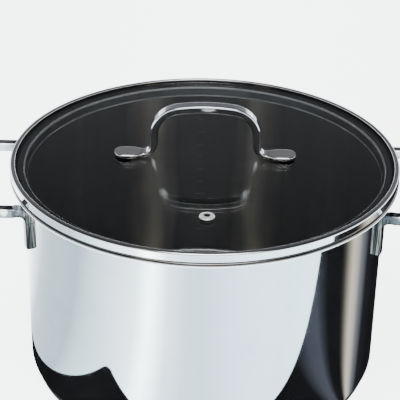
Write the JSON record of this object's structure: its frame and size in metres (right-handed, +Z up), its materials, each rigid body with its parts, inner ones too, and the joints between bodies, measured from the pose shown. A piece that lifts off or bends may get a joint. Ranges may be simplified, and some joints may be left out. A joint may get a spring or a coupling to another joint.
{
  "type": "water bath canner",
  "caption": "Wide polished steel stockpot for water bath canning, with bar side handles, a flat vented glass lid in a steel rim and a wire jar rack with folding bails.",
  "frame": {"origin": "centre of the base's underside, where the pot stands", "axes": "+Z up; +X to the right side handle, so the side handles and the lid's handle lie along X; -Y to the front, the side of the steam vent"},
  "size_m": [0.41, 0.3306, 0.2442],
  "materials": {
    "pot_steel": "mirror-polished outside, fine circumferential brushing inside",
    "base_steel": "polished edge, turned underside",
    "core_aluminium": "plain, sealed inside the base",
    "handle_steel": "mirror-polished stainless steel",
    "rim_steel": "mirror-polished stainless steel",
    "lid_glass": "clear tempered glass",
    "silicone": "matte black silicone",
    "fastener_steel": "plain turned stainless steel",
    "wire_steel": "drawn stainless wire, spot welded",
    "bail_steel": "drawn stainless wire"
  },
  "bodies": {
    "pot": {"pot_shell": "pot_steel", "base_core": "core_aluminium", "base_cap": "base_steel", "left_handle": "handle_steel", "right_handle": "handle_steel"},
    "lid": {"lid_glass": "lid_glass", "lid_rim": "rim_steel", "rim_seal": "silicone", "lid_handle": "handle_steel", "handle_inserts": "fastener_steel", "handle_gaskets": "silicone", "handle_lower_gaskets": "silicone", "handle_washers": "fastener_steel", "handle_screws": "fastener_steel", "vent_eyelet": "rim_steel", "vent_washer": "fastener_steel", "vent_seal": "silicone"},
    "rack": {"rack_outer_ring": "wire_steel", "rack_inner_ring": "wire_steel", "rack_cross_wires": "wire_steel", "rack_feet": "wire_steel", "rack_pivot_lugs": "wire_steel"},
    "left_bail": {"left_bail": "bail_steel"},
    "right_bail": {"right_bail": "bail_steel"}
  },
  "joints": [
    {"name": "lid_lift", "type": "slide", "parent": "pot", "child": "lid", "axis": [0, 0, 1], "range_m": [0, 0.4]},
    {"name": "rack_lift", "type": "slide", "parent": "pot", "child": "rack", "axis": [0, 0, 1], "range_m": [0, 0.2]},
    {"name": "left_bail_hinge", "type": "hinge", "parent": "rack", "child": "left_bail", "pos_m": [-0.13363, 0, 0.0242], "axis": [0, -1, 0], "range_deg": [0, 90]},
    {"name": "right_bail_hinge", "type": "hinge", "parent": "rack", "child": "right_bail", "pos_m": [0.13363, 0, 0.0242], "axis": [0, 1, 0], "range_deg": [0, 90]}
  ],
  "couplings": [
    {"joint": "rack_lift", "follows": "lid_lift", "ratio": 0.5}
  ]
}
